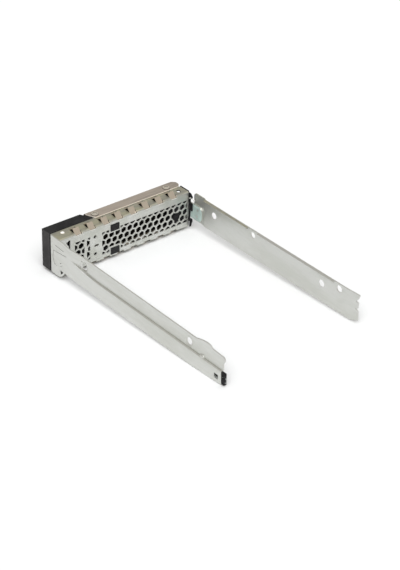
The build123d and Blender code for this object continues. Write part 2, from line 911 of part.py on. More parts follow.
pieces = {
    "housing": housing.part,
    "right_rail": right_rail.part,
    "left_rail": left_rail.part,
    "top_contact_strip": contact_strip(False),
    "bottom_contact_strip": contact_strip(True),
    "handle_channel": handle_channel.part,
    "catch_pin": headed_pin(catch_x, -catch_depth),
    "pivot_pin": headed_pin(pivot_x, -pivot_depth),
    "bezel": bezel.part,
    "hinge_block": hinge_block.part,
    "release_button": release_button.part,
    "button_spring": button_spring.part,
    "latch_hook": latch_hook.part,
    "latch_pivot_pin": latch_pivot_pin.part,
    "status_light_pipe": light_pipe(pipe_levels[0]),
    "activity_light_pipe": light_pipe(pipe_levels[1]),
    "light_guide_holder": light_guide_holder.part,
    "right_rivet_upper": side_rivet(panel_inner - sheet, caddy_half, *right_rivets[0]),
    "right_rivet_lower": side_rivet(panel_inner - sheet, caddy_half, *right_rivets[1]),
    "left_rivet_upper": left_rivet(*left_rivets[0]),
    "left_rivet_lower": left_rivet(*left_rivets[1]),
}

os.makedirs("parts", exist_ok=True)
for name, solid in pieces.items():
    export_step(solid, f"parts/{name}.step")
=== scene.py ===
"""Looks of a hot swap caddy for a 3.5 inch drive: plated tray, stainless latch handle, moulded bezel."""

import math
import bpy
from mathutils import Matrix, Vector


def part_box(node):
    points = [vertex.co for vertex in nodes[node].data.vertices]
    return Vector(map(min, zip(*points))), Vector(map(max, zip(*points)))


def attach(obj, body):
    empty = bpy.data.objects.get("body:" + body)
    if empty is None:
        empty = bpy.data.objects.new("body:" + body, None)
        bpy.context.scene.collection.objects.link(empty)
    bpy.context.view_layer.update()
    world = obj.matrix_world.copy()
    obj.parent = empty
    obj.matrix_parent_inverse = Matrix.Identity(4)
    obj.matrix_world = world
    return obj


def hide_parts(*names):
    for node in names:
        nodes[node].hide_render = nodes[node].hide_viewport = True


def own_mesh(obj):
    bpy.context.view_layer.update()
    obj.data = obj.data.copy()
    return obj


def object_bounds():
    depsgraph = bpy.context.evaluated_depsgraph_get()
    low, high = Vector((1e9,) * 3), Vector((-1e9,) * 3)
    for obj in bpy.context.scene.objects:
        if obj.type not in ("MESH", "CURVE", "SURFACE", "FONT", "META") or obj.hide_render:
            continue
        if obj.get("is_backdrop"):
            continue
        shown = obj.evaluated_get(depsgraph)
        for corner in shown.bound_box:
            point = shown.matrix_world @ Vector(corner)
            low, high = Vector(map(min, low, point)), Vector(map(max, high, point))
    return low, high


bl_info = {
    "name": "Hot Swap Caddy Looks",
    "version": (1, 0, 0),
    "blender": (4, 5, 0),
    "location": "View3D > Sidebar > Caddy",
    "description": "Finishes the packed drive caddy and sets it on a pale floor",
    "category": "3D View",
}

import bmesh
import bpy
from bpy.props import FloatProperty, FloatVectorProperty, IntProperty, PointerProperty
from mathutils import Matrix, Vector

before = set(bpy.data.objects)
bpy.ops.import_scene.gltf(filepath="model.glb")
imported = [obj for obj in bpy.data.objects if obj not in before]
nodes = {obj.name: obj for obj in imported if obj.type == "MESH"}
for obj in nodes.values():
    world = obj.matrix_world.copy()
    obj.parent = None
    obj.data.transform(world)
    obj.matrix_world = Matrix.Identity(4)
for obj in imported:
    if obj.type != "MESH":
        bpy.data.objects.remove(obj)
MM = 0.001
# millimetres from the housing's front to the plate's rear face
HOUSING_DEPTH = 9.8
# corners sharper than this get a broken edge
SHARP = math.radians(38)
# grain with no direction
EVEN = (1.0, 1.0, 1.0)


# Sizes and colours that a user would change


class PlatingLook(bpy.types.PropertyGroup):
    """Zinc plating of the folded tray"""

    light: FloatVectorProperty(
        name="Light plating", description="Colour of the clearest plating",
        subtype="COLOR", size=3, min=0, max=1, default=(0.63, 0.635, 0.61),
    )
    dark: FloatVectorProperty(
        name="Dull plating", description="Colour of the duller patches",
        subtype="COLOR", size=3, min=0, max=1, default=(0.545, 0.555, 0.51),
    )
    # painted reflection: the flanges' faces that look up or down get this darker, yellower colour,
    # standing in for the warm, darker surroundings they mirror
    flange: FloatVectorProperty(
        name="Flange", description="Colour of the yellower plating on the folded flanges",
        subtype="COLOR", size=3, min=0, max=1, default=(0.525, 0.515, 0.39),
    )
    blued: FloatVectorProperty(
        name="Blued plating", description="Colour of the bluish plating on the housing's side tab",
        subtype="COLOR", size=3, min=0, max=1, default=(0.55, 0.68, 0.645),
    )
    # partly the sheared steel's own lighter colour, partly painted highlight: whitish and half metallic,
    # it shows as a bright line under any light; the bevels' broken edges take it too
    cut_edge_highlight: FloatVectorProperty(
        name="Cut edge", description="Colour of the sheared edges",
        subtype="COLOR", size=3, min=0, max=1, default=(0.84, 0.84, 0.80),
    )
    # painted shade: dark colour for the creases, standing in for the shade along the steps
    crease_shade: FloatVectorProperty(
        name="Crease", description="Colour of the pressed creases of the right rail's panel",
        subtype="COLOR", size=3, min=0, max=1, default=(0.20, 0.20, 0.17),
    )
    roughness: FloatProperty(
        name="Roughness", description="Roughness of the plating",
        default=0.34, min=0, max=1, subtype="FACTOR",
    )
    patch: FloatProperty(
        name="Patch size", description="Size of the duller patches", default=0.014, unit="LENGTH",
    )
    edge: FloatProperty(
        name="Edge width", description="Width of the broken edge of the sheet",
        default=0.00012, unit="LENGTH",
    )


class SpringSteelLook(bpy.types.PropertyGroup):
    """Contact fingers and the button's spring"""

    finger: FloatVectorProperty(
        name="Fingers", description="Colour of the contact fingers",
        subtype="COLOR", size=3, min=0, max=1, default=(0.58, 0.51, 0.42),
    )
    coil: FloatVectorProperty(
        name="Coil", description="Colour of the coil spring",
        subtype="COLOR", size=3, min=0, max=1, default=(0.55, 0.54, 0.52),
    )
    roughness: FloatProperty(
        name="Roughness", description="Roughness of the spring steel",
        default=0.32, min=0, max=1, subtype="FACTOR",
    )
    turns: IntProperty(name="Turns", description="Turns of the coil spring", default=7, min=3)
    wire: FloatProperty(
        name="Wire", description="Radius of the spring's wire", default=0.0003, unit="LENGTH",
    )


class HandleLook(bpy.types.PropertyGroup):
    """Brushed handle and its pins"""

    face: FloatVectorProperty(
        name="Handle", description="Colour of the brushed handle",
        subtype="COLOR", size=3, min=0, max=1, default=(0.605, 0.54, 0.475),
    )
    # partly the handle's own bare sheared edge, partly painted highlight: a whitish, half-metallic
    # colour that shows as a bright line under any light
    cut_edge_highlight: FloatVectorProperty(
        name="Cut edge", description="Colour of the handle's bright edge",
        subtype="COLOR", size=3, min=0, max=1, default=(0.92, 0.86, 0.78),
    )
    # painted shade: near-black colour for the handle's inner faces, standing in for the shade inside the
    # channel
    inside: FloatVectorProperty(
        name="Inside", description="Colour of the handle's dull inner faces",
        subtype="COLOR", size=3, min=0, max=1, default=(0.05, 0.045, 0.04),
    )
    pin: FloatVectorProperty(
        name="Pins", description="Colour of the riveted pins",
        subtype="COLOR", size=3, min=0, max=1, default=(0.86, 0.81, 0.72),
    )
    # painted shade: a dark ring on the pins' sides next to their heads, standing in for the shade in the
    # gap round each head
    pin_rim_shade: FloatVectorProperty(
        name="Pin rim", description="Colour of the groove that the riveting tool leaves",
        subtype="COLOR", size=3, min=0, max=1, default=(0.09, 0.08, 0.065),
    )
    roughness: FloatProperty(
        name="Roughness", description="Roughness of the handle",
        default=0.36, min=0, max=1, subtype="FACTOR",
    )
    edge: FloatProperty(
        name="Edge width", description="Width of the bright edge", default=0.0002, unit="LENGTH",
    )


class PlasticLook(bpy.types.PropertyGroup):
    """Moulded black parts"""

    bezel: FloatVectorProperty(
        name="Bezel", description="Colour of the bezel",
        subtype="COLOR", size=3, min=0, max=1, default=(0.008, 0.008, 0.0085),
    )
    # painted reflection: the bezel's side that looks along +X is lighter, standing in for the bright
    # floor it mirrors
    side: FloatVectorProperty(
        name="Bezel side", description="Colour of the bezel's outer side",
        subtype="COLOR", size=3, min=0, max=1, default=(0.022, 0.021, 0.0215),
    )
    inner: FloatVectorProperty(
        name="Inner parts", description="Colour of the hidden moulded parts",
        subtype="COLOR", size=3, min=0, max=1, default=(0.006, 0.006, 0.007),
    )
    button: FloatVectorProperty(
        name="Button", description="Colour of the release button",
        subtype="COLOR", size=3, min=0, max=1, default=(0.02, 0.02, 0.022),
    )
    clear: FloatVectorProperty(
        name="Light pipes", description="Colour of the clear light pipes",
        subtype="COLOR", size=3, min=0, max=1, default=(0.86, 0.92, 0.92),
    )
    grain: FloatProperty(
        name="Grain size", description="Size of the moulded grain", default=0.0003, unit="LENGTH",
    )
    sheen: FloatProperty(
        name="Sheen", description="How much the moulded parts mirror",
        default=0.14, min=0, max=1, subtype="FACTOR",
    )
    edge: FloatProperty(
        name="Edge width", description="Width of the moulded corner radius",
        default=0.00018, unit="LENGTH",
    )


class StageLook(bpy.types.PropertyGroup):
    """Floor, light and camera"""

    floor: FloatVectorProperty(
        name="Floor", description="Colour of the floor",
        subtype="COLOR", size=3, min=0, max=1, default=(0.76, 0.77, 0.78),
    )
    tilt: FloatProperty(
        name="Tilt", description="How far the floor meets the caddy's lowest edges from level",
        default=math.radians(2.75), unit="ROTATION",
    )
    key: FloatProperty(
        name="Key light", description="Strength of the broad overhead light", default=2.7,
    )
    key_spread: FloatProperty(
        name="Key spread", description="Angle that the overhead light fills",
        default=math.radians(50), unit="ROTATION",
    )
    key_place: FloatVectorProperty(
        name="Key place", description="Point that the overhead light shines from towards the caddy",
        size=3, subtype="TRANSLATION", unit="LENGTH", default=(0.9, 1.1, 1.9),
    )
    sky: FloatProperty(
        name="Sky", description="Strength of the studio's white surroundings", default=0.85,
    )
    position: FloatVectorProperty(
        name="Camera", description="Place of the camera",
        size=3, subtype="TRANSLATION", unit="LENGTH", default=(0.5934, 0.70874, 0.5934),
    )
    yaw: FloatProperty(
        name="Yaw", description="Turn of the view from straight back",
        default=0.699113, unit="ROTATION",
    )
    pitch: FloatProperty(
        name="Pitch", description="Downward tilt of the view", default=0.56201, unit="ROTATION",
    )
    roll: FloatProperty(
        name="Roll", description="Roll of the camera", default=0.026494, unit="ROTATION",
    )
    lens: FloatProperty(name="Lens", description="Focal length in millimetres", default=112.995)


# Shader node groups, each built once


def shader_group(name, inputs, outputs):
    """An empty shader node group with named sockets, and its two ends."""
    group = bpy.data.node_groups.new(name, "ShaderNodeTree")
    for label, kind, value in inputs:
        socket = group.interface.new_socket(label, in_out="INPUT", socket_type=kind)
        if value is not None:
            socket.default_value = value
    for label, kind in outputs:
        group.interface.new_socket(label, in_out="OUTPUT", socket_type=kind)
    start = group.nodes.new("NodeGroupInput")
    end = group.nodes.new("NodeGroupOutput")
    return group, start, end


def math_node(tree, operation, first, second):
    """A Math node fed by sockets or plain numbers."""
    node = tree.nodes.new("ShaderNodeMath")
    node.operation = operation
    for socket, value in zip(node.inputs, (first, second)):
        if isinstance(value, (int, float)):
            socket.default_value = value
        else:
            tree.links.new(value, socket)
    return node.outputs[0]


def mix_colours(tree, factor, low, high):
    """A Mix node between two colours."""
    node = tree.nodes.new("ShaderNodeMix")
    node.data_type = "RGBA"
    tree.links.new(factor, node.inputs["Factor"])
    for socket, value in ((node.inputs[6], low), (node.inputs[7], high)):
        if isinstance(value, (tuple, list)):
            socket.default_value = value
        else:
            tree.links.new(value, socket)
    return node.outputs[2]


def noise(tree, vector, scale, detail=3.0, rough=0.55):
    """A Noise Texture's value, at a scale in waves per metre."""
    node = tree.nodes.new("ShaderNodeTexNoise")
    node.inputs["Detail"].default_value = detail
    node.inputs["Roughness"].default_value = rough
    tree.links.new(vector, node.inputs["Vector"])
    if isinstance(scale, (int, float)):
        node.inputs["Scale"].default_value = scale
    else:
        tree.links.new(scale, node.inputs["Scale"])
    return node.outputs["Fac"]


def remap(tree, value, low, high):
    """A smooth Map Range from 0 at the low value to 1 at the high one."""
    node = tree.nodes.new("ShaderNodeMapRange")
    node.interpolation_type = "SMOOTHSTEP"
    tree.links.new(value, node.inputs["Value"])
    node.inputs["From Min"].default_value = low
    node.inputs["From Max"].default_value = high
    return node.outputs["Result"]


def patch_group():
    """Soft patches of two colours, with a roughness that follows them."""
    group, start, end = shader_group(
        "Soft Patches",
        (
            ("Vector", "NodeSocketVector", None),
            ("Scale", "NodeSocketFloat", 70.0),
            ("Light", "NodeSocketColor", (1, 1, 1, 1)),
            ("Dull", "NodeSocketColor", (0.5, 0.5, 0.5, 1)),
            ("Roughness", "NodeSocketFloat", 0.35),
            ("Spread", "NodeSocketFloat", 0.1),
        ),
        (("Color", "NodeSocketColor"), ("Roughness", "NodeSocketFloat")),
    )
    broad = noise(group, start.outputs["Vector"], start.outputs["Scale"], 4.0)
    fine_scale = math_node(group, "MULTIPLY", start.outputs["Scale"], 11.0)
    fine = noise(group, start.outputs["Vector"], fine_scale, 2.0)
    broad_share = math_node(group, "MULTIPLY", broad, 0.75)
    fine_share = math_node(group, "MULTIPLY", fine, 0.25)
    both = math_node(group, "ADD", broad_share, fine_share)
    mask = remap(group, both, 0.38, 0.62)
    colour = mix_colours(group, mask, start.outputs["Light"], start.outputs["Dull"])
    swing = math_node(group, "MULTIPLY", mask, start.outputs["Spread"])
    rough = math_node(group, "ADD", start.outputs["Roughness"], swing)
    group.links.new(colour, end.inputs["Color"])
    group.links.new(rough, end.inputs["Roughness"])
    return group


def grain_group():
    """Fine lines along one direction, for brushed and rolled metal."""
    group, start, end = shader_group(
        "Directional Grain",
        (
            ("Vector", "NodeSocketVector", None),
            ("Stretch", "NodeSocketVector", (1.0, 1.0, 1.0)),
            ("Scale", "NodeSocketFloat", 3000.0),
        ),
        (("Height", "NodeSocketFloat"),),
    )
    stretch = group.nodes.new("ShaderNodeVectorMath")
    stretch.operation = "MULTIPLY"
    group.links.new(start.outputs["Vector"], stretch.inputs[0])
    group.links.new(start.outputs["Stretch"], stretch.inputs[1])
    lines = noise(group, stretch.outputs[0], start.outputs["Scale"], 2.0)
    group.links.new(lines, end.inputs["Height"])
    return group


def scuff_group():
    """Sparse rubbed marks as a mask."""
    group, start, end = shader_group(
        "Sparse Scuffs",
        (
            ("Vector", "NodeSocketVector", None),
            ("Scale", "NodeSocketFloat", 160.0),
            ("Amount", "NodeSocketFloat", 0.3),
        ),
        (("Mask", "NodeSocketFloat"),),
    )
    warp = noise(group, start.outputs["Vector"], start.outputs["Scale"], 6.0, 0.7)
    fine_scale = math_node(group, "MULTIPLY", start.outputs["Scale"], 4.5)
    specks = noise(group, start.outputs["Vector"], fine_scale, 3.0, 0.6)
    both = math_node(
        group, "MULTIPLY", remap(group, warp, 0.52, 0.72), remap(group, specks, 0.45, 0.7),
    )
    mask = math_node(group, "MULTIPLY", both, start.outputs["Amount"])
    group.links.new(mask, end.inputs["Mask"])
    return group


def shared(build):
    """The node group that a builder makes, made on first use."""
    names = {
        patch_group: "Soft Patches",
        grain_group: "Directional Grain",
        scuff_group: "Sparse Scuffs",
    }
    return bpy.data.node_groups.get(names[build]) or build()


def place_group(tree, build, vector, **values):
    """A node group in a material, with its own values."""
    node = tree.nodes.new("ShaderNodeGroup")
    node.node_tree = shared(build)
    tree.links.new(vector, node.inputs["Vector"])
    for label, value in values.items():
        node.inputs[label.replace("_", " ")].default_value = value
    return node


def rgba(colour):
    """A colour with an opaque alpha."""
    return (*colour, 1.0)


def bare_material(name, colour):
    """A new material with its shader and object coordinates."""
    material = bpy.data.materials.new(name)
    material.use_nodes = True
    material.diffuse_color = rgba(colour)
    tree = material.node_tree
    shader = tree.nodes["Principled BSDF"]
    vector = tree.nodes.new("ShaderNodeTexCoord").outputs["Object"]
    return material, tree, shader, vector


def add_bump(tree, shader, height, strength, distance):
    """A Bump node between a height and the shader's normal."""
    bump = tree.nodes.new("ShaderNodeBump")
    bump.inputs["Strength"].default_value = strength
    bump.inputs["Distance"].default_value = distance
    tree.links.new(height, bump.inputs["Height"])
    tree.links.new(bump.outputs["Normal"], shader.inputs["Normal"])


def stretched(tree, vector, stretch):
    """Coordinates squeezed along one or more axes, which draws a pattern out along them."""
    node = tree.nodes.new("ShaderNodeVectorMath")
    node.operation = "MULTIPLY"
    tree.links.new(vector, node.inputs[0])
    node.inputs[1].default_value = stretch
    return node.outputs[0]


def metal(
    name, light, dull, roughness, patch, stretch, worn=0.25, relief=0.25, drawn=EVEN, metallic=1.0,
):
    """A metal with soft patches, directional grain and rubbed marks."""
    line = 0.00025
    line_depth = 0.00002
    line_roughness = 0.12
    rub_gain = 1.25
    material, tree, shader, vector = bare_material(name, light)
    patches = place_group(
        tree, patch_group, stretched(tree, vector, drawn), Scale=1 / patch, Light=rgba(light),
        Dull=rgba(dull), Roughness=roughness, Spread=0.08,
    )
    scuffs = place_group(tree, scuff_group, vector, Scale=160.0, Amount=worn)
    grain = place_group(tree, grain_group, vector, Stretch=stretch, Scale=1 / line)
    rubbed = rgba([min(1.0, c * rub_gain) for c in light])
    colour = mix_colours(tree, scuffs.outputs["Mask"], patches.outputs["Color"], rubbed)
    tree.links.new(colour, shader.inputs["Base Color"])
    streak = math_node(tree, "MULTIPLY", grain.outputs["Height"], line_roughness)
    rough = math_node(tree, "ADD", patches.outputs["Roughness"], streak)
    tree.links.new(rough, shader.inputs["Roughness"])
    shader.inputs["Metallic"].default_value = metallic
    add_bump(tree, shader, grain.outputs["Height"], relief, line_depth)
    return material


def moulded(name, colour, grain, sheen, roughness=0.55):
    """A moulded plastic with a spark-eroded grain and rubbed marks."""
    pit_strength = 0.35
    pit_depth = 0.00004
    material, tree, shader, vector = bare_material(name, colour)
    lighter = rgba([min(1.0, c * 1.9 + 0.004) for c in colour])
    patches = place_group(
        tree, patch_group, vector, Scale=55.0, Light=rgba(colour), Dull=lighter,
        Roughness=roughness, Spread=0.08,
    )
    scuffs = place_group(tree, scuff_group, vector, Scale=220.0, Amount=0.35)
    pitted = place_group(tree, grain_group, vector, Stretch=EVEN, Scale=1 / grain)
    pale = rgba([min(1.0, c * 3.0 + 0.02) for c in colour])
    mixed = mix_colours(tree, scuffs.outputs["Mask"], patches.outputs["Color"], pale)
    tree.links.new(mixed, shader.inputs["Base Color"])
    tree.links.new(patches.outputs["Roughness"], shader.inputs["Roughness"])
    shader.inputs["Specular IOR Level"].default_value = sheen
    add_bump(tree, shader, pitted.outputs["Height"], pit_strength, pit_depth)
    return material


def clear_plastic(name, colour):
    """Clear moulded plastic with a faint haze."""
    material, tree, shader, vector = bare_material(name, colour)
    patches = place_group(
        tree, patch_group, vector, Scale=300.0, Light=rgba(colour),
        Dull=rgba([c * 0.93 for c in colour]), Roughness=0.08, Spread=0.1,
    )
    tree.links.new(patches.outputs["Color"], shader.inputs["Base Color"])
    tree.links.new(patches.outputs["Roughness"], shader.inputs["Roughness"])
    shader.inputs["Transmission Weight"].default_value = 0.8
    shader.inputs["IOR"].default_value = 1.49
    return material


# Helpers for the pieces


def dress(name, materials, edge, segments=2):
    """Gives a CAD node its materials, smooth curves and a broken edge that takes the last material."""
    piece = nodes[name]
    piece.data.materials.clear()
    for material in materials:
        piece.data.materials.append(material)
    for polygon in piece.data.polygons:
        polygon.material_index = 0
        polygon.use_smooth = True
    piece.data.set_sharp_from_angle(angle=SHARP)
    if edge > 0:
        bevel = piece.modifiers.new("Broken edge", "BEVEL")
        bevel.width = edge
        bevel.segments = segments
        bevel.limit_method = "ANGLE"
        bevel.angle_limit = SHARP
        bevel.use_clamp_overlap = True
        bevel.harden_normals = True
        bevel.miter_outer = "MITER_ARC"
        bevel.material = len(materials) - 1
    return piece


def paint(piece, material, test):
    """Gives another of the piece's materials to the faces whose centre and normal pass a test."""
    index = list(piece.data.materials).index(material)
    for polygon in piece.data.polygons:
        if test(polygon.center, polygon.normal):
            polygon.material_index = index


def spot(x, y, z):
    """A point given in millimetres from the plate's rear face and the housing's lowest face."""
    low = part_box("housing")[0]
    return Vector((x * MM, low.y + (y + HOUSING_DEPTH) * MM, low.z + z * MM))


def add_piece(name, form, smooth=True, flat_ends=False):
    """A new piece from mesh code, flat on faces of more than four sides where its ends are flat."""
    mesh = bpy.data.meshes.new(name)
    form.to_mesh(mesh)
    form.free()
    for polygon in mesh.polygons:
        polygon.use_smooth = smooth and not (flat_ends and len(polygon.vertices) > 4)
    piece = bpy.data.objects.new(name, mesh)
    bpy.context.scene.collection.objects.link(piece)
    return piece


def pad(name, centre, across, tall, rise):
    """A shallow crowned pad pressed out of a face that looks along +X."""
    steps = 12
    crown = 0.18
    waist = 0.1
    form = bmesh.new()
    grid = []
    for row in range(steps + 1):
        line = []
        for column in range(steps + 1):
            u = 2 * column / steps - 1
            v = 2 * row / steps - 1
            edge = max(abs(u), abs(v)) ** 2
            radius = math.hypot(u, v)
            blend = max(0.0, 1 - edge ** 3) * (1 - crown * min(1, radius))
            pull = 1 - waist * (abs(u * v) ** 2)
            place = centre + Vector((rise * blend, across / 2 * u * pull, tall / 2 * v * pull))
            line.append(form.verts.new(place))
        grid.append(line)
    for first, second in zip(grid, grid[1:]):
        for column in range(steps):
            after = column + 1
            form.faces.new((first[column], first[after], second[after], second[column]))
    return add_piece(name, form)


def tube(name, points, radius):
    """A mesh tube along a line of points."""
    sides = 10
    form = bmesh.new()
    rings = []
    for index, point in enumerate(points):
        before = points[max(index - 1, 0)]
        after = points[min(index + 1, len(points) - 1)]
        along = (after - before).normalized()
        across = along.cross(Vector((0, 1, 0))).normalized()
        up = across.cross(along).normalized()
        ring = []
        for side in range(sides):
            turn = 2 * math.pi * side / sides
            outward = math.cos(turn) * across + math.sin(turn) * up
            ring.append(form.verts.new(point + radius * outward))
        rings.append(ring)
    for first, second in zip(rings, rings[1:]):
        for side in range(sides):
            after = (side + 1) % sides
            form.faces.new((first[side], first[after], second[after], second[side]))
    form.faces.new(list(reversed(rings[0])))
    form.faces.new(rings[-1])
    bmesh.ops.recalc_face_normals(form, faces=form.faces)
    return add_piece(name, form, flat_ends=True)


# Operators, one for each piece or group of like pieces


class CADDY_OT_tray(bpy.types.Operator):
    """Zinc plating on the housing and both rails"""

    bl_idname = "caddy.tray"
    bl_label = "Plated tray"

    def execute(self, context):
        look = context.scene.caddy_plating
        # sheared edges and bevels: partly bare steel, partly painted highlight, lighter and less
        # metallic than the plating
        edge = metal(
            "Sheared Edge Highlight", look.cut_edge_highlight, look.light, look.roughness + 0.05, look.patch, EVEN,
            metallic=0.6,
        )
        fade = (0.72, 0.73, 0.86)
        dull_flange_reflection = [colour * share for colour, share in zip(look.flange, fade)]
        across = (0.05, 1.0, 1.0)
        along = (1.0, 0.04, 1.0)
        plate = metal("Plate Plating", look.light, look.dark, look.roughness, look.patch, across)
        flange = metal(
            "Flange Painted Reflection", look.flange, dull_flange_reflection, look.roughness, look.patch / 2, across, worn=0.5,
            drawn=(0.3, 1.0, 1.0),
        )
        even = [(light + dark) / 2 for light, dark in zip(look.light, look.dark)]
        rail = metal(
            "Rail Plating", look.light, even, look.roughness, look.patch, along, worn=0.15,
            drawn=(1.0, 0.2, 1.0),
        )
        dull_blue = [c * 0.8 for c in look.blued]
        blued = metal(
            "Blued Plating", look.blued, dull_blue, look.roughness, look.patch / 3, along, metallic=0.3,
        )
        level = 0.7
        # housing: painted reflection on the flanges (a darker, yellower colour on the faces that look up
        # or down), bright walls round the plate's holes (partly bare steel, partly painted highlight), a
        # bluish side tab
        low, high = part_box("housing")
        rear = spot(0, 0, 0).y
        inside = rear - 0.85 * MM
        behind = rear + 0.2 * MM

        # faces that look up or down at the housing's top and bottom, which take the painted reflection
        # colour
        def on_flange(c, n):
            return abs(n.z) > level and min(high.z - c.z, c.z - low.z) < MM

        # walls of the plate's holes, which take the bright edge colour, partly painted highlight
        def in_hole(c, n):
            return abs(n.y) < 0.3 and inside < c.y < rear and low.z + MM < c.z < high.z - MM

        piece = dress("housing", (plate, flange, blued, edge), look.edge)
        paint(piece, flange, on_flange)
        paint(piece, edge, in_hole)
        paint(piece, blued, lambda c, n: c.y > behind and n.x > 0.5)
        # right rail: painted shade in the pressed creases of the front panel, a dark colour on the faces
        # sunk below the panel's face
        crease_shade = metal("Pressed Crease Painted Shade", look.crease_shade, look.crease_shade, 0.5, look.patch, EVEN, worn=0.1)
        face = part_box("right_rail")[1].x
        deepest = face - 0.17 * MM
        shallowest = face - 0.03 * MM
        panel_end = spot(0, 9, 0).y
        piece = dress("right_rail", (rail, crease_shade, edge), look.edge)
        paint(piece, crease_shade, lambda c, n: deepest < c.x < shallowest and c.y < panel_end)
        # left rail: painted reflection on the front flange tab, the same darker, yellower colour on its
        # upward faces
        near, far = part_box("left_rail")
        tab_end = near.y + 0.45 * (far.y - near.y)
        piece = dress("left_rail", (rail, flange, edge), look.edge)
        paint(piece, flange, lambda c, n: abs(n.z) > level and far.z - c.z < MM and c.y < tab_end)
        return {"FINISHED"}


class CADDY_OT_fingers(bpy.types.Operator):
    """Contact fingers above and below the plate"""

    bl_idname = "caddy.fingers"
    bl_label = "Contact fingers"

    def execute(self, context):
        look = context.scene.caddy_springs
        dull = [c * 0.9 for c in look.finger]
        steel = metal("Finger Steel", look.finger, dull, look.roughness, 0.006, (1.0, 0.05, 1.0))
        for name in ("top_contact_strip", "bottom_contact_strip"):
            dress(name, (steel,), 0.00005)
        return {"FINISHED"}


class CADDY_OT_handle(bpy.types.Operator):
    """Brushed latch handle with its bright sheared edge, partly painted highlight, and its inner faces
    in painted shade
    """

    bl_idname = "caddy.handle"
    bl_label = "Latch handle"

    def execute(self, context):
        look = context.scene.caddy_handle
        dull = [c * 0.66 for c in look.face]
        brushed = (0.03, 1.0, 1.0)
        face = metal(
            "Brushed Handle", look.face, dull, look.roughness, 0.012, brushed, relief=0.4,
            drawn=(0.12, 1.0, 1.0),
        )
        # painted shade for the inner faces of the channel
        inside = metal("Handle Inside Painted Shade", look.inside, look.inside, 0.6, 0.02, brushed, worn=0.1)
        # painted highlight on the handle's thin cut faces, over the bare edge's own lighter colour
        edge = metal("Handle Edge Highlight", look.cut_edge_highlight, look.cut_edge_highlight, 0.35, 0.01, EVEN, metallic=0.4)
        piece = dress("handle_channel", (face, inside, edge), look.edge)
        low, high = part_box("handle_channel")
        skin = 0.5 * MM
        sheet = 0.75 * MM
        web = 2 * MM

        # the channel's inner faces, which take the painted shade
        def inner(c, n):
            between = low.z + skin < c.z < high.z - skin
            return between and c.y > low.y + skin and c.x > low.x + skin

        # the thin cut faces of the flanges, which take the painted highlight colour
        def sheared(c, n):
            thin = min(high.z - c.z, c.z - low.z) < sheet
            return thin and abs(n.z) < 0.3 and c.y > low.y + web

        paint(piece, inside, inner)
        paint(piece, edge, sheared)
        # painted shade: a dark corrugated screen behind the air holes, standing in for the shade seen
        # through them
        top = spot(0, 0, 20.5).z
        foot = spot(0, 0, 4.5).z
        back = low.y + sheet
        left = low.x + 13 * MM
        crest = 0.22 * MM
        trough = 0.05 * MM
        width = 0.4
        folds = 128
        form = bmesh.new()
        columns = []
        for step in range(folds + 1):
            x = left + step * width * MM
            y = back + (crest if step % 4 in (1, 2) else trough)
            columns.append([form.verts.new((x, y, foot)), form.verts.new((x, y, top))])
        for first, second in zip(columns, columns[1:]):
            form.faces.new((first[0], second[0], second[1], first[1]))
        screen = add_piece("air_hole_shade_screen", form, smooth=False)
        screen.data.materials.append(inside)
        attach(screen, "handle")
        return {"FINISHED"}


class CADDY_OT_pins(bpy.types.Operator):
    """Riveted pins and the small rivets of the rails"""

    bl_idname = "caddy.pins"
    bl_label = "Pins and rivets"

    def execute(self, context):
        look = context.scene.caddy_handle
        dull = [c * 0.8 for c in look.pin]
        steel = metal("Pin Steel", look.pin, dull, 0.3, 0.004, EVEN)
        # painted shade for the ring round each pin head
        groove = metal("Pin Rim Painted Shade", look.pin_rim_shade, look.pin_rim_shade, 0.5, 0.004, EVEN)
        head = 0.35 * MM
        small_edge = 0.00004
        for name in ("catch_pin", "pivot_pin"):
            piece = dress(name, (steel, groove), 0)
            low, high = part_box(name)

            # side faces next to a head, which take the painted shade
            def rim(c, n):
                near = min(high.z - c.z, c.z - low.z) < head
                return near and abs(n.z) < 0.9

            paint(piece, groove, rim)
        dress("latch_pivot_pin", (steel,), small_edge)
        # dished rivet in the flange's hole above the bezel: radius and height in millimetres
        profile = (
            (0.55, -0.42), (0.95, -0.25), (1.15, -0.06), (1.32, -0.03), (1.42, -0.2), (1.42, -1.6),
        )
        seat = spot(45.3, -6.8, 26.2)
        sides = 32
        form = bmesh.new()
        rings = []
        for radius, drop in profile:
            ring = []
            for side in range(sides):
                turn = 2 * math.pi * side / sides
                offset = Vector((radius * math.cos(turn), radius * math.sin(turn), drop)) * MM
                ring.append(form.verts.new(seat + offset))
            rings.append(ring)
        form.faces.new(rings[0])
        for first, second in zip(rings, rings[1:]):
            for side in range(sides):
                after = (side + 1) % sides
                form.faces.new((first[side], second[side], second[after], first[after]))
        bmesh.ops.recalc_face_normals(form, faces=form.faces)
        rivet = add_piece("bezel_rivet", form)
        # near-white, half-metallic colour: a painted highlight on the dished head over the rivet's own
        # steel
        bright = metal(
            "Rivet Steel Highlight", (0.95, 0.95, 0.93), look.pin, 0.3, 0.002, EVEN, metallic=0.5,
        )
        rivet.data.materials.append(bright)
        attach(rivet, "frame")
        look = context.scene.caddy_plating
        plated = metal("Rivet Plating", look.light, look.dark, look.roughness, 0.002, EVEN)
        for side in ("right", "left"):
            dress(f"{side}_rivet_upper", (plated,), small_edge)
            dress(f"{side}_rivet_lower", (plated,), small_edge)
        return {"FINISHED"}


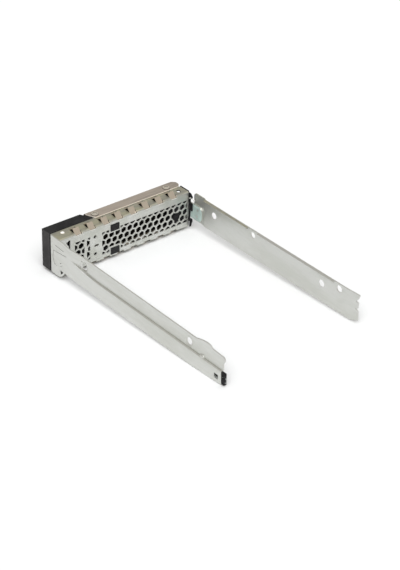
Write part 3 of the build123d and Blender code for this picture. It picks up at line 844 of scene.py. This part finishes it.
class CADDY_OT_mouldings(bpy.types.Operator):
    """Black bezel, hinge block, latch and light guide holder"""

    bl_idname = "caddy.mouldings"
    bl_label = "Black mouldings"

    def execute(self, context):
        look = context.scene.caddy_plastic
        shell = moulded("Bezel Plastic", look.bezel, look.grain, look.sheen)
        # painted reflection on the bezel's +X side; every other face takes the shell colour
        side = moulded("Bezel Side Painted Reflection", look.side, look.grain, look.sheen)
        piece = dress("bezel", (side, shell), look.edge, segments=3)
        paint(piece, shell, lambda c, n: n.x < 0.9)
        inner = moulded("Inner Plastic", look.inner, look.grain, look.sheen * 0.6, roughness=0.45)
        for name in ("hinge_block", "latch_hook", "light_guide_holder"):
            dress(name, (inner,), look.edge * 0.6)
        return {"FINISHED"}


class CADDY_OT_button(bpy.types.Operator):
    """Release button in the bezel's front"""

    bl_idname = "caddy.button"
    bl_label = "Release button"

    def execute(self, context):
        look = context.scene.caddy_plastic
        shell = moulded("Button Plastic", look.button, look.grain, look.sheen * 1.5, roughness=0.4)
        dress("release_button", (shell,), look.edge, segments=3)
        return {"FINISHED"}


class CADDY_OT_light_pipes(bpy.types.Operator):
    """Clear light pipes along the right rail"""

    bl_idname = "caddy.light_pipes"
    bl_label = "Light pipes"

    def execute(self, context):
        look = context.scene.caddy_plastic
        clear = clear_plastic("Light Pipe Plastic", look.clear)
        for name in ("status_light_pipe", "activity_light_pipe"):
            dress(name, (clear,), 0.00005)
        return {"FINISHED"}


class CADDY_OT_button_spring(bpy.types.Operator):
    """Coil spring behind the button, with closed end turns"""

    bl_idname = "caddy.button_spring"
    bl_label = "Button spring"

    def execute(self, context):
        look = context.scene.caddy_springs
        low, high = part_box("button_spring")
        centre = (low + high) / 2
        coil = (high.x - low.x) / 2 - look.wire
        start = low.y + look.wire
        run = high.y - low.y - 2 * look.wire
        closed = 2 * look.wire
        steps = 24
        points = []
        total = look.turns + 2
        for step in range(total * steps + 1):
            turn = step / steps
            rise = min(turn, 1) * closed
            rise += max(0, min(turn - 1, look.turns)) * (run - 2 * closed) / look.turns
            rise += max(0, turn - 1 - look.turns) * closed
            angle = 2 * math.pi * turn
            x = centre.x + coil * math.cos(angle)
            z = centre.z + coil * math.sin(angle)
            points.append(Vector((x, start + rise, z)))
        piece = tube("button_coil", points, look.wire)
        dull = [c * 0.85 for c in look.coil]
        steel = metal("Coil Steel", look.coil, dull, 0.25, 0.003, EVEN)
        piece.data.materials.append(steel)
        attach(piece, "frame")
        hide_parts("button_spring")
        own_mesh(piece)
        return {"FINISHED"}


class CADDY_OT_pressings(bpy.types.Operator):
    """Pad pressed across the right rail's ledge, and the bright hook at the housing's far corner"""

    bl_idname = "caddy.pressings"
    bl_label = "Pressings"

    def execute(self, context):
        plating = bpy.data.materials.get("Rail Plating")
        edge = bpy.data.materials.get("Sheared Edge Highlight")
        if plating is None or edge is None:
            raise RuntimeError("The plated tray comes first")
        piece = pad("ledge_pad", spot(51.9, 138.5, 14.6), 3.6 * MM, 4.2 * MM, 0.9 * MM)
        piece.data.materials.append(plating)
        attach(piece, "frame")
        # the hook takes the same bright edge colour, partly painted highlight
        hook = (
            (-50.1, 0.4, 21.4), (-50.3, 1.8, 22.3), (-50.5, 3.4, 22.4), (-50.6, 4.7, 21.6),
            (-50.6, 5.2, 20.4),
        )
        piece = tube("corner_hook", [spot(*point) for point in hook], 0.4 * MM)
        piece.data.materials.append(edge)
        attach(piece, "frame")
        return {"FINISHED"}


class CADDY_OT_stage(bpy.types.Operator):
    """Pale floor, soft studio light and the camera"""

    bl_idname = "caddy.stage"
    bl_label = "Stage"

    def execute(self, context):
        look = context.scene.caddy_stage
        scene = context.scene
        # floor under the lower fingers' crests and the right rail's rear end
        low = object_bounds()[0]
        half = 3.0
        mesh = bpy.data.meshes.new("floor")
        corners = [(-half, -half, 0), (half, -half, 0), (half, half, 0), (-half, half, 0)]
        mesh.from_pydata(corners, [], [(0, 1, 2, 3)])
        floor = bpy.data.objects.new("floor", mesh)
        scene.collection.objects.link(floor)
        strip_low, strip_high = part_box("bottom_contact_strip")
        crest = (strip_low.y + strip_high.y) / 2
        lean = Matrix.Translation((0, crest, low.z)) @ Matrix.Rotation(look.tilt, 4, "X")
        floor.matrix_world = lean
        material, _, shader, _ = bare_material("Floor", look.floor)
        shader.inputs["Base Color"].default_value = rgba(look.floor)
        shader.inputs["Roughness"].default_value = 0.9
        floor.data.materials.append(material)
        floor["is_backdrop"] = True
        # surroundings: white above, a warmer and darker band near the horizon
        world = bpy.data.worlds.new("Studio")
        scene.world = world
        world.use_nodes = True
        tree = world.node_tree
        background = tree.nodes["Background"]
        background.inputs["Strength"].default_value = look.sky
        separate = tree.nodes.new("ShaderNodeSeparateXYZ")
        tree.links.new(tree.nodes.new("ShaderNodeTexCoord").outputs["Generated"], separate.inputs[0])
        ramp = tree.nodes.new("ShaderNodeValToRGB")
        horizon, top = ramp.color_ramp.elements
        horizon.position = 0.45
        horizon.color = (0.52, 0.49, 0.44, 1)
        top.position = 0.95
        top.color = (1.15, 1.15, 1.15, 1)
        tree.links.new(separate.outputs["Z"], ramp.inputs[0])
        tree.links.new(ramp.outputs[0], background.inputs["Color"])
        # one broad light from above, on the camera's side
        lamp = bpy.data.lights.new("key", "SUN")
        lamp.angle = look.key_spread
        lamp.energy = look.key
        key = bpy.data.objects.new("key", lamp)
        place = Vector(look.key_place)
        aim = (-place).to_track_quat("-Z", "Y").to_matrix().to_4x4()
        key.matrix_world = Matrix.Translation(place) @ aim
        scene.collection.objects.link(key)
        # camera
        data = bpy.data.cameras.new("camera")
        data.lens = look.lens
        data.sensor_width = 36.0
        camera = bpy.data.objects.new("camera", data)
        forward = Vector(
            (
                -math.sin(look.yaw) * math.cos(look.pitch),
                -math.cos(look.yaw) * math.cos(look.pitch),
                -math.sin(look.pitch),
            )
        )
        level = Vector((-math.cos(look.yaw), math.sin(look.yaw), 0))
        upright = level.cross(forward)
        right = math.cos(look.roll) * level + math.sin(look.roll) * upright
        up = math.cos(look.roll) * upright - math.sin(look.roll) * level
        turned = Matrix((right, up, -forward)).transposed().to_4x4()
        camera.matrix_world = Matrix.Translation(look.position) @ turned
        scene.collection.objects.link(camera)
        scene.camera = camera
        scene.view_settings.view_transform = "Standard"
        return {"FINISHED"}


class CADDY_PT_looks(bpy.types.Panel):
    """Lists the caddy's pieces and settings"""

    bl_idname = "CADDY_PT_looks"
    bl_label = "Drive Caddy"
    bl_space_type = "VIEW_3D"
    bl_region_type = "UI"
    bl_category = "Caddy"

    def draw(self, context):
        for operator in OPERATORS:
            self.layout.operator(operator.bl_idname)
        for name, group in SETTINGS.items():
            box = self.layout.box()
            box.label(text=group.__doc__)
            for label in group.__annotations__:
                box.prop(getattr(context.scene, name), label)


SETTINGS = {
    "caddy_plating": PlatingLook,
    "caddy_springs": SpringSteelLook,
    "caddy_handle": HandleLook,
    "caddy_plastic": PlasticLook,
    "caddy_stage": StageLook,
}
OPERATORS = (
    CADDY_OT_tray,
    CADDY_OT_fingers,
    CADDY_OT_handle,
    CADDY_OT_pins,
    CADDY_OT_mouldings,
    CADDY_OT_button,
    CADDY_OT_light_pipes,
    CADDY_OT_button_spring,
    CADDY_OT_pressings,
    CADDY_OT_stage,
)
CLASSES = (*SETTINGS.values(), *OPERATORS, CADDY_PT_looks)


def register():
    """Adds the settings, operators and panel."""
    for kind in CLASSES:
        bpy.utils.register_class(kind)
    for name, group in SETTINGS.items():
        setattr(bpy.types.Scene, name, PointerProperty(type=group))


def unregister():
    """Takes them out again."""
    for name in SETTINGS:
        delattr(bpy.types.Scene, name)
    for kind in reversed(CLASSES):
        bpy.utils.unregister_class(kind)


def main():
    """Runs every operator in order."""
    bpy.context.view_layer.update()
    register()
    bpy.ops.caddy.tray()
    bpy.ops.caddy.fingers()
    bpy.ops.caddy.handle()
    bpy.ops.caddy.pins()
    bpy.ops.caddy.mouldings()
    bpy.ops.caddy.button()
    bpy.ops.caddy.light_pipes()
    bpy.ops.caddy.button_spring()
    bpy.ops.caddy.pressings()
    bpy.ops.caddy.stage()


if __name__ == "__main__":
    main()
